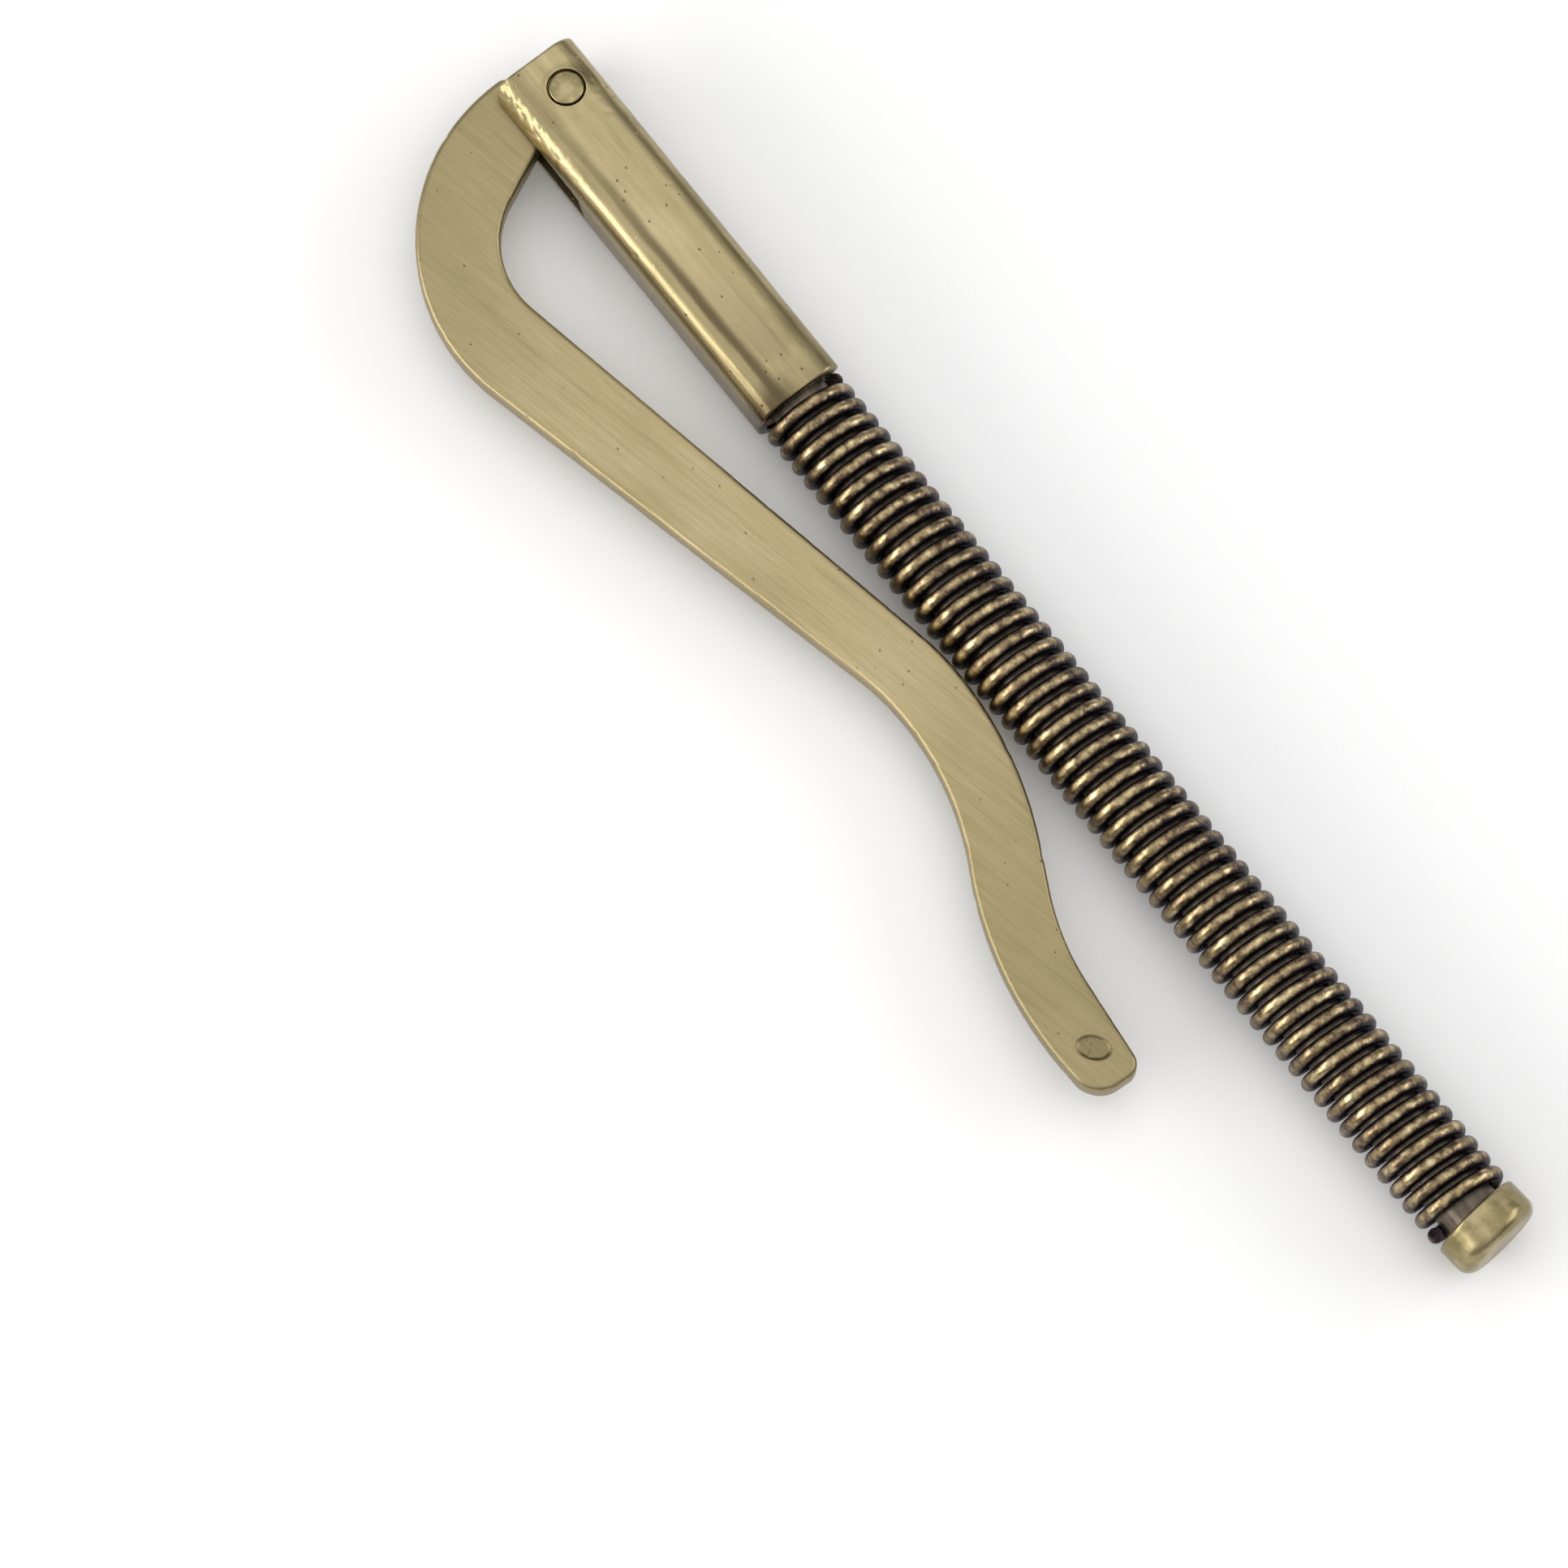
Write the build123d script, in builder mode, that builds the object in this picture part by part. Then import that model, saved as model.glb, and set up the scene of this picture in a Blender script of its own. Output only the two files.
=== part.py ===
"""Spring money clip for the spine of a bifold wallet.

A flat hooked arm swings out of a folded sheet housing. A pin on the arm's tail draws a rod
back through a long coil spring, which closes the arm again.

Frame: millimetres, +X along the bar from the housing's open end to the end cap, +Z up out of
the front face. The origin is on the bar's axis, in the plane of the housing's open end.
The arm lies on the -Y side and is drawn closed.
"""

import os
from math import cos, radians, sin

from build123d import *

# ---- driving dimensions -------------------------------------------------------------------

# housing: a strip folded into a rounded box
HOUSING_LENGTH = 22.35
HOUSING_WIDTH = 5.0
HOUSING_HEIGHT = 4.8
HOUSING_CORNER = 1.3
SHEET = 0.5
SEAM_Z = 0.92
SEAM_GAP = 0.06
END_SOFTENING = 0.16

# arm plate
ARM_THICKNESS = 1.5
ARM_EDGE_ROUND = 0.3

# pivot, and the link pin that turns about it by the opening angle
PIVOT = (2.32, 0.45)
RIVET_SHANK_RADIUS = 0.45
RIVET_HEAD_RADIUS = 0.92
RIVET_HOLE_RADIUS = 1.0
LINK_RADIUS = 1.6
LINK_START_ANGLE = -45
LINK_PIN_RADIUS = 0.35
OPENING_ANGLE = 90

# draw rod, spring and cap
ROD_RADIUS = 1.65
WIRE_RADIUS = 0.4
SPRING_OUTER_RADIUS = 2.55
SPRING_TURNS = 53.5
CAP_BACK_X = 77.15
CAP_LENGTH = 2.05
CAP_RADIUS = 2.5
BUSH_LENGTH = 3.0

# clearances
RUNNING = 0.03
PLATE_GAP = 0.09
SLIDE_GAP = 0.15
SEATED = 0.01
SPRING_SEAT = 0.02

# ---- worked out from them -----------------------------------------------------------------

half_width = HOUSING_WIDTH / 2
half_height = HOUSING_HEIGHT / 2
inner_half_width = half_width - SHEET
inner_half_height = half_height - SHEET
arm_half = ARM_THICKNESS / 2
slot_half = arm_half + 0.1

link_pin_at = (
    PIVOT[0] + LINK_RADIUS * cos(radians(LINK_START_ANGLE)),
    PIVOT[1] + LINK_RADIUS * sin(radians(LINK_START_ANGLE)),
)
link_low_y = PIVOT[1] - LINK_RADIUS
rod_travel = 2 * LINK_RADIUS * sin(radians(OPENING_ANGLE / 2))

os.makedirs("parts", exist_ok=True)


# ---- housing ------------------------------------------------------------------------------

SLOT_LENGTH = 7.6
SLOT_END_SLANT = 0.45
NOTCH_DEPTH = 1.05

with BuildPart() as housing:
    # folded section, looking along the bar
    with BuildSketch(Plane.YZ):
        RectangleRounded(HOUSING_WIDTH, HOUSING_HEIGHT, HOUSING_CORNER)
        RectangleRounded(
            2 * inner_half_width,
            2 * inner_half_height,
            HOUSING_CORNER - SHEET,
            mode=Mode.SUBTRACT,
        )
        # the two edges of the strip stop short of each other on the -Y side
        with Locations((-half_width, SEAM_Z)):
            Rectangle(3 * SHEET, SEAM_GAP, mode=Mode.SUBTRACT)
    extrude(amount=HOUSING_LENGTH)

    # window that the arm swings in, with a slanted inner end
    with BuildSketch(Plane.XZ.offset(half_width + 1)):
        with BuildLine():
            Polyline(
                (-1, slot_half),
                (SLOT_LENGTH - SLOT_END_SLANT, slot_half),
                (SLOT_LENGTH, -slot_half),
                (-1, -slot_half),
                close=True,
            )
        make_face()
    extrude(amount=-(SHEET + 1.4), mode=Mode.SUBTRACT)

    # relief in the fold, where the arm's shoulder stops when it is fully open
    with BuildSketch(Plane.XZ.offset(-half_width - 1)):
        with Locations((NOTCH_DEPTH / 2 - 0.5, 0)):
            Rectangle(NOTCH_DEPTH + 1, 2 * slot_half)
    extrude(amount=SHEET + 1.4, mode=Mode.SUBTRACT)

    # rivet holes: a clear hole in the front wall, a countersunk one in the back wall
    with BuildSketch(Plane.XY.offset(inner_half_height - 0.2)):
        with Locations(PIVOT):
            Circle(RIVET_HOLE_RADIUS)
    extrude(amount=SHEET + 0.4, mode=Mode.SUBTRACT)
    with BuildSketch(Plane.XY.offset(-half_height)):
        with Locations(PIVOT):
            Circle(RIVET_HEAD_RADIUS + SEATED)
    with BuildSketch(Plane.XY.offset(-inner_half_height)):
        with Locations(PIVOT):
            Circle(RIVET_SHANK_RADIUS + SEATED)
    loft(mode=Mode.SUBTRACT)

    # sheared ends lose their sharp outer edge
    open_end = housing.edges().group_by(Axis.X)[0]
    far_end = housing.edges().group_by(Axis.X)[-1]
    outer = [
        edge
        for edge in open_end + far_end
        if max(abs(edge.center().Y) / half_width, abs(edge.center().Z) / half_height) > 0.93
        and edge.length > 0.3
    ]
    chamfer(outer, END_SOFTENING)

housing.part.label = "housing"
export_step(housing.part, "parts/housing.step")


# ---- pivot rivet --------------------------------------------------------------------------

RIVET_PROUD = 0.06
RIVET_EDGE_ROUND = 0.14

with BuildPart() as pivot_rivet:
    # shank between the walls
    with BuildSketch(Plane.XY.offset(-inner_half_height)):
        with Locations(PIVOT):
            Circle(RIVET_SHANK_RADIUS)
    extrude(amount=2 * inner_half_height)
    # front head, in the clear hole and a little proud of it
    with BuildSketch(Plane.XY.offset(inner_half_height)):
        with Locations(PIVOT):
            Circle(RIVET_HEAD_RADIUS)
    extrude(amount=SHEET + RIVET_PROUD)
    fillet(pivot_rivet.edges().sort_by(Axis.Z)[-1], RIVET_EDGE_ROUND)
    # back head, spread into the countersink and flush
    with BuildSketch(Plane.XY.offset(-half_height)):
        with Locations(PIVOT):
            Circle(RIVET_HEAD_RADIUS)
    with BuildSketch(Plane.XY.offset(-inner_half_height)):
        with Locations(PIVOT):
            Circle(RIVET_SHANK_RADIUS)
    loft()

pivot_rivet.part.label = "pivot_rivet"
export_step(pivot_rivet.part, "parts/pivot_rivet.step")


# ---- clip arm -----------------------------------------------------------------------------

# hook
OUTER_HOOK_RADIUS = 10.66
OUTER_HOOK_LEFT = -0.65
OUTER_HOOK_Y = -1.8
INNER_HOOK_RADIUS = 4.8
INNER_HOOK_CENTRE = (9.25, -3.05)
NECK_EDGE_HEADING = -66.0
NECK_EDGE_LENGTH = 3.9
SHOULDER_Y = -1.15
SHOULDER_ROUND = 0.35

# straight run, from the hook up to the crest that bears on the bar
UPPER_SLOPE = 10.4
LOWER_SLOPE = 12.8
UPPER_RUN = 26.7
LOWER_RUN = 24.2
UPPER_CREST_RADII = (14.4, 20.8)
LOWER_CREST_RADII = (14.4, 16.4)

# fall from the crest to the lifted tip
UPPER_FALL = 27.5
LOWER_FALL = 29.9
UPPER_FALL_RUN = 2.6
UPPER_HOLLOW_RADIUS = 14.0
LOWER_HOLLOW_RADIUS = 21.0
TIP_SLOPE = -6.5
UPPER_TIP_RUN = 4.4
TIP_CORNER_RADIUS = 0.95

# tail
EYE_RADIUS = 1.42
LOBE_RADIUS = 0.95

# oval mark pressed into the tip
MARK_AT = (58.64, -9.67)
MARK_RADII = (0.97, 0.66)
MARK_ANGLE = 37
MARK_DEPTH = 0.09


def heading(degrees):
    """Unit direction in the plane of the arm."""
    return (cos(radians(degrees)), sin(radians(degrees)))


neck_tangent = (
    INNER_HOOK_CENTRE[0] - INNER_HOOK_RADIUS * sin(radians(-NECK_EDGE_HEADING)),
    INNER_HOOK_CENTRE[1] - INNER_HOOK_RADIUS * cos(radians(-NECK_EDGE_HEADING)),
)
neck_start = (
    neck_tangent[0] - NECK_EDGE_LENGTH * heading(NECK_EDGE_HEADING)[0],
    neck_tangent[1] - NECK_EDGE_LENGTH * heading(NECK_EDGE_HEADING)[1],
)

with BuildPart() as clip_arm:
    with BuildSketch():
        with BuildLine():
            # edge towards the bar: neck, hook, run, crest, hollow, tip
            neck = Line(neck_start, neck_tangent)
            hook_in = JernArc(
                neck_tangent,
                heading(NECK_EDGE_HEADING),
                INNER_HOOK_RADIUS,
                UPPER_SLOPE - NECK_EDGE_HEADING,
            )
            run_in = PolarLine(hook_in @ 1, UPPER_RUN, UPPER_SLOPE)
            rise_in = JernArc(run_in @ 1, run_in % 1, UPPER_CREST_RADII[0], -UPPER_SLOPE)
            fall_in = JernArc(rise_in @ 1, (1, 0), UPPER_CREST_RADII[1], -UPPER_FALL)
            drop_in = PolarLine(fall_in @ 1, UPPER_FALL_RUN, -UPPER_FALL)
            hollow_in = JernArc(
                drop_in @ 1, drop_in % 1, UPPER_HOLLOW_RADIUS, UPPER_FALL + TIP_SLOPE
            )
            tip_in = PolarLine(hollow_in @ 1, UPPER_TIP_RUN, TIP_SLOPE)
            corner_in = JernArc(tip_in @ 1, tip_in % 1, TIP_CORNER_RADIUS, -85)

            # far edge: hook, run, crest, hollow
            hook_out = JernArc(
                (OUTER_HOOK_LEFT, OUTER_HOOK_Y), (0, -1), OUTER_HOOK_RADIUS, 90 + LOWER_SLOPE
            )
            run_out = PolarLine(hook_out @ 1, LOWER_RUN, LOWER_SLOPE)
            rise_out = JernArc(run_out @ 1, run_out % 1, LOWER_CREST_RADII[0], -LOWER_SLOPE)
            fall_out = JernArc(rise_out @ 1, (1, 0), LOWER_CREST_RADII[1], -LOWER_FALL)
            hollow_out = JernArc(
                fall_out @ 1, fall_out % 1, LOWER_HOLLOW_RADIUS, LOWER_FALL
            )
            tip_out = PolarLine(hollow_out @ 1, 1.0, 1.5)
            TangentArc(tip_out @ 1, corner_in @ 1, tangent=tip_out % 1)

            # shoulder and the hidden edge behind it
            shoulder = Polyline(
                (OUTER_HOOK_LEFT, OUTER_HOOK_Y),
                (OUTER_HOOK_LEFT, SHOULDER_Y - SHOULDER_ROUND),
                (OUTER_HOOK_LEFT + 0.3 * SHOULDER_ROUND, SHOULDER_Y - 0.3 * SHOULDER_ROUND),
                (OUTER_HOOK_LEFT + SHOULDER_ROUND, SHOULDER_Y),
                (PIVOT[0], SHOULDER_Y),
                neck_start,
            )
        make_face()
        with Locations(PIVOT):
            Circle(EYE_RADIUS)
        with Locations(link_pin_at):
            Circle(LOBE_RADIUS)
        with Locations(PIVOT):
            Circle(RIVET_SHANK_RADIUS + RUNNING, mode=Mode.SUBTRACT)
        with Locations(link_pin_at):
            Circle(LINK_PIN_RADIUS + SEATED, mode=Mode.SUBTRACT)
    extrude(amount=arm_half, both=True)

    # the stamped outline has soft edges wherever it can be touched
    touched = [
        edge
        for face in (clip_arm.faces().sort_by(Axis.Z)[-1], clip_arm.faces().sort_by(Axis.Z)[0])
        for edge in face.edges()
        if edge.center().Y < SHOULDER_Y - SHOULDER_ROUND
    ]
    fillet(touched, ARM_EDGE_ROUND)

    # shallow oval mark
    with BuildSketch(Plane.XY.offset(arm_half)):
        with Locations(MARK_AT):
            Ellipse(*MARK_RADII, rotation=MARK_ANGLE)
    extrude(amount=-MARK_DEPTH, mode=Mode.SUBTRACT)

clip_arm.part.label = "clip_arm"
export_step(clip_arm.part, "parts/clip_arm.step")


# ---- link pin -----------------------------------------------------------------------------

TINE_OUTER = 1.6
LINK_PIN_HALF = TINE_OUTER + 0.08
PIN_END_CHAMFER = 0.08

with BuildPart() as link_pin:
    with BuildSketch(Plane.XY.offset(-LINK_PIN_HALF)):
        with Locations(link_pin_at):
            Circle(LINK_PIN_RADIUS)
    extrude(amount=2 * LINK_PIN_HALF)
    chamfer(link_pin.edges().filter_by(GeomType.CIRCLE), PIN_END_CHAMFER)

link_pin.part.label = "link_pin"
export_step(link_pin.part, "parts/link_pin.step")


# ---- draw rod -----------------------------------------------------------------------------

EYE_SLOT_RADIUS = LINK_PIN_RADIUS + 0.07
TINE_LEFT = link_pin_at[0] - EYE_SLOT_RADIUS - 0.55
TINE_TOP = PIVOT[1] - RIVET_SHANK_RADIUS - 0.06
TINE_BOTTOM = -(inner_half_width - SLIDE_GAP)
HEAD_LEFT = 5.35
WEB_LEFT = 6.3
HEAD_RIGHT = 7.7
HEAD_EDGE = 0.25
ROD_END_X = CAP_BACK_X + 1.35

with BuildPart() as draw_rod:
    # square head with two tines, seen from the front
    with BuildSketch(Plane.XY.offset(-TINE_OUTER)):
        with BuildLine():
            Polyline(
                (TINE_LEFT, TINE_BOTTOM),
                (HEAD_RIGHT, TINE_BOTTOM),
                (HEAD_RIGHT, -TINE_BOTTOM),
                (HEAD_LEFT, -TINE_BOTTOM),
                (HEAD_LEFT, TINE_TOP),
                (TINE_LEFT, TINE_TOP),
                close=True,
            )
        make_face()
    extrude(amount=2 * TINE_OUTER)
    long_edges = draw_rod.edges().filter_by(Axis.X)
    chamfer([edge for edge in long_edges if abs(edge.center().Y) > 1], HEAD_EDGE)

    # the arm's tail turns between the tines
    with BuildSketch(Plane.XZ):
        with Locations(((TINE_LEFT + WEB_LEFT) / 2 - 1, 0)):
            Rectangle(WEB_LEFT - TINE_LEFT + 2, 2 * (arm_half + PLATE_GAP))
    extrude(amount=inner_half_width + 1, both=True, mode=Mode.SUBTRACT)

    # slotted eye: the link pin rises and falls in it while it draws the rod back
    with BuildSketch(Plane.XY):
        with Locations((link_pin_at[0], (link_pin_at[1] + link_low_y) / 2)):
            SlotCenterToCenter(link_pin_at[1] - link_low_y, 2 * EYE_SLOT_RADIUS, rotation=90)
    extrude(amount=TINE_OUTER + 1, both=True, mode=Mode.SUBTRACT)

    # round shaft to the cap
    with BuildSketch(Plane.YZ.offset(HEAD_RIGHT)):
        Circle(ROD_RADIUS)
    extrude(amount=ROD_END_X - HEAD_RIGHT)

draw_rod.part.label = "draw_rod"
export_step(draw_rod.part, "parts/draw_rod.step")


# ---- guide bush ---------------------------------------------------------------------------

BUSH_END_INSET = 0.15

with BuildPart() as guide_bush:
    with BuildSketch(Plane.YZ.offset(HOUSING_LENGTH - BUSH_END_INSET)):
        RectangleRounded(
            2 * (inner_half_width - SEATED),
            2 * (inner_half_height - SEATED),
            HOUSING_CORNER - SHEET,
        )
        Circle(ROD_RADIUS + RUNNING, mode=Mode.SUBTRACT)
    extrude(amount=-BUSH_LENGTH)

guide_bush.part.label = "guide_bush"
export_step(guide_bush.part, "parts/guide_bush.step")


# ---- coil spring --------------------------------------------------------------------------

coil_radius = SPRING_OUTER_RADIUS - WIRE_RADIUS
spring_start = HOUSING_LENGTH + SPRING_SEAT + WIRE_RADIUS
spring_end = CAP_BACK_X - SPRING_SEAT - WIRE_RADIUS
coil_pitch = (spring_end - spring_start) / SPRING_TURNS

with BuildPart() as coil_spring:
    with BuildLine() as coil:
        Helix(
            coil_pitch,
            spring_end - spring_start,
            coil_radius,
            center=(spring_start, 0, 0),
            direction=(1, 0, 0),
            lefthand=True,
        )
    with BuildSketch(Plane(coil.line @ 0, z_dir=coil.line % 0)):
        Circle(WIRE_RADIUS)
    sweep(is_frenet=True)

# a left-handed helix starts on top: a quarter turn puts its cut end on the +Y side
spring_solid = coil_spring.part.rotate(Axis.X, -90)
spring_solid.label = "coil_spring"
export_step(spring_solid, "parts/coil_spring.step")


# ---- end cap ------------------------------------------------------------------------------

CAP_OUTER_ROUND = 0.65
CAP_BACK_ROUND = 0.15

with BuildPart() as end_cap:
    with BuildSketch(Plane.YZ.offset(CAP_BACK_X)):
        Circle(CAP_RADIUS)
    extrude(amount=CAP_LENGTH)
    fillet(end_cap.edges().sort_by(Axis.X)[-1], CAP_OUTER_ROUND)
    fillet(end_cap.edges().sort_by(Axis.X)[0], CAP_BACK_ROUND)
    # blind bore pressed on the rod
    with BuildSketch(Plane.YZ.offset(CAP_BACK_X)):
        Circle(ROD_RADIUS + SEATED)
    extrude(amount=ROD_END_X + SEATED - CAP_BACK_X, mode=Mode.SUBTRACT)

end_cap.part.label = "end_cap"
export_step(end_cap.part, "parts/end_cap.step")

print(f"rod travel {rod_travel:.3f} mm, coil pitch {coil_pitch:.4f} mm")
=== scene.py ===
"""Looks for the spring money clip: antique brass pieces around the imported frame.

Everything is in metres in the part's own frame: +X along the bar, +Z up out of the front face.
Lengths below that end in _MM are millimetres, and MM turns them into metres.
"""

import math
import random

import bmesh
import bpy
import numpy as np
from mathutils import Matrix, Vector, noise
from mathutils.geometry import delaunay_2d_cdt


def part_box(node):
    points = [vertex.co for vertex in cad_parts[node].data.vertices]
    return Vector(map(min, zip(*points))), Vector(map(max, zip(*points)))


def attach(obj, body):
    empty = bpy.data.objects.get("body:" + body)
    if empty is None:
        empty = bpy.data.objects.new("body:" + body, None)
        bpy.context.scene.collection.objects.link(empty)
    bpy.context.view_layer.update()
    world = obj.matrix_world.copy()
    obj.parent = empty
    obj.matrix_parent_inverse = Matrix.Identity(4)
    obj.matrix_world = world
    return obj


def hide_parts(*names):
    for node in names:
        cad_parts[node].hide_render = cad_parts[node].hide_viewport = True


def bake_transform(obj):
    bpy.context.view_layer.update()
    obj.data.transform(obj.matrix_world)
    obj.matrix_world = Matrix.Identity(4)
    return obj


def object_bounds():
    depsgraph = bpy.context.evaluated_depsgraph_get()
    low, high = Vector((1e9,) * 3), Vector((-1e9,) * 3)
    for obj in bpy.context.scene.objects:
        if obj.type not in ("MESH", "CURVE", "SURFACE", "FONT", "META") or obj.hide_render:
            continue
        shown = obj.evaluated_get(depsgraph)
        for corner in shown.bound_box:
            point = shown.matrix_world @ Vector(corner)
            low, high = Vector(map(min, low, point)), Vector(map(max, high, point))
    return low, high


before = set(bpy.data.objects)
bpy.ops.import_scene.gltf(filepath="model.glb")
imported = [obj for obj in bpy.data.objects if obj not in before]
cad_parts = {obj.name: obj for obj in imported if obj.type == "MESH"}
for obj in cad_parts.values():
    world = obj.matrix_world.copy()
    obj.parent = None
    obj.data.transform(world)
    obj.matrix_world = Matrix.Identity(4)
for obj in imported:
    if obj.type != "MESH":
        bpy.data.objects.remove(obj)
cad_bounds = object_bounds()

MM = 0.001
SEED = 7

# ---- sizes shared with the part, in millimetres -------------------------------------------

HOUSING_WIDTH = 5.0
HOUSING_HEIGHT = 4.8
HOUSING_CORNER = 1.3
SHEET = 0.5
SEAM_Z = 0.92
SEAM_GAP = 0.06
SLOT_LENGTH = 7.6
SLOT_HALF = 0.85
NOTCH_DEPTH = 1.05
PIVOT = (2.32, 0.45)
RIVET_HEAD_RADIUS = 0.92
RIVET_HOLE_RADIUS = 1.03
RIVET_SHANK_RADIUS = 0.45
LINK_RADIUS = 1.6
LINK_AT = (PIVOT[0] + LINK_RADIUS * math.sqrt(0.5), PIVOT[1] - LINK_RADIUS * math.sqrt(0.5))
LINK_PIN_RADIUS = 0.35
WIRE_RADIUS = 0.4
SPRING_OUTER_RADIUS = 2.55
SPRING_TURNS = 53.5
SPRING_SEAT = 0.02
ROD_RADIUS = 1.65
ARM_HALF = 0.75
ARM_EDGE_ROUND = 0.3
MARK_AT = (58.64, -9.67)
MARK_RADII = (0.97, 0.66)
MARK_ANGLE = math.radians(37)
MARK_DEPTH = 0.12

_, housing_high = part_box("housing")
cap_low, cap_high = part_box("end_cap")
HOUSING_LENGTH = housing_high.x / MM
CAP_BACK_X = cap_low.x / MM
CAP_FRONT_X = cap_high.x / MM
CAP_RADIUS = cap_high.y / MM


# ---- small helpers ------------------------------------------------------------------------


def smoothstep(low, high, value):
    t = np.clip((value - low) / (high - low), 0.0, 1.0)
    return t * t * (3.0 - 2.0 * t)


def noise_at(points, scale, offset=0.0):
    """Smooth noise in -1..1 at an array of points in millimetres."""
    shift = Vector((offset, 2.3 * offset, -1.7 * offset))
    return np.array([noise.noise(Vector(p) * scale + shift) for p in points])


def mesh_piece(name, points_mm, faces):
    """A smooth-shaded mesh object from points in millimetres."""
    mesh = bpy.data.meshes.new(name)
    mesh.from_pydata([tuple(MM * c for c in p) for p in points_mm], [], faces)
    mesh.update()
    work = bmesh.new()
    work.from_mesh(mesh)
    bmesh.ops.recalc_face_normals(work, faces=work.faces)
    work.to_mesh(mesh)
    work.free()
    piece = bpy.data.objects.new(name, mesh)
    bpy.context.scene.collection.objects.link(piece)
    return piece


def shade(piece, angle_degrees=40):
    """Smooth shading that keeps edges sharper than the angle."""
    bpy.ops.object.select_all(action="DESELECT")
    piece.select_set(True)
    bpy.context.view_layer.objects.active = piece
    bpy.ops.object.shade_smooth()
    piece.data.set_sharp_from_angle(angle=math.radians(angle_degrees))


def apply_modifiers(piece):
    bpy.context.view_layer.objects.active = piece
    for modifier in list(piece.modifiers):
        bpy.ops.object.modifier_apply(modifier=modifier.name)


def cut(piece, cutter):
    """Takes the cutter's volume out of the piece and deletes the cutter."""
    modifier = piece.modifiers.new("cut", "BOOLEAN")
    modifier.operation = "DIFFERENCE"
    modifier.solver = "EXACT"
    modifier.object = cutter
    apply_modifiers(piece)
    bpy.data.objects.remove(cutter, do_unlink=True)


def prism(name, outline, low, high, plane="xz"):
    """A closed prism cutter: the outline is in the named plane, low and high bound the rest."""
    count = len(outline)
    points = []
    for level in (low, high):
        for a, b in outline:
            points.append((a, level, b) if plane == "xz" else (a, b, level))
    faces = [list(range(count)), list(range(2 * count - 1, count - 1, -1))]
    for i in range(count):
        j = (i + 1) % count
        faces.append([i, j, count + j, count + i])
    return mesh_piece(name, points, faces)


def circle(centre, radius, count):
    steps = [2 * math.pi * i / count for i in range(count)]
    return [(centre[0] + radius * math.cos(t), centre[1] + radius * math.sin(t)) for t in steps]


# ---- materials ----------------------------------------------------------------------------


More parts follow.
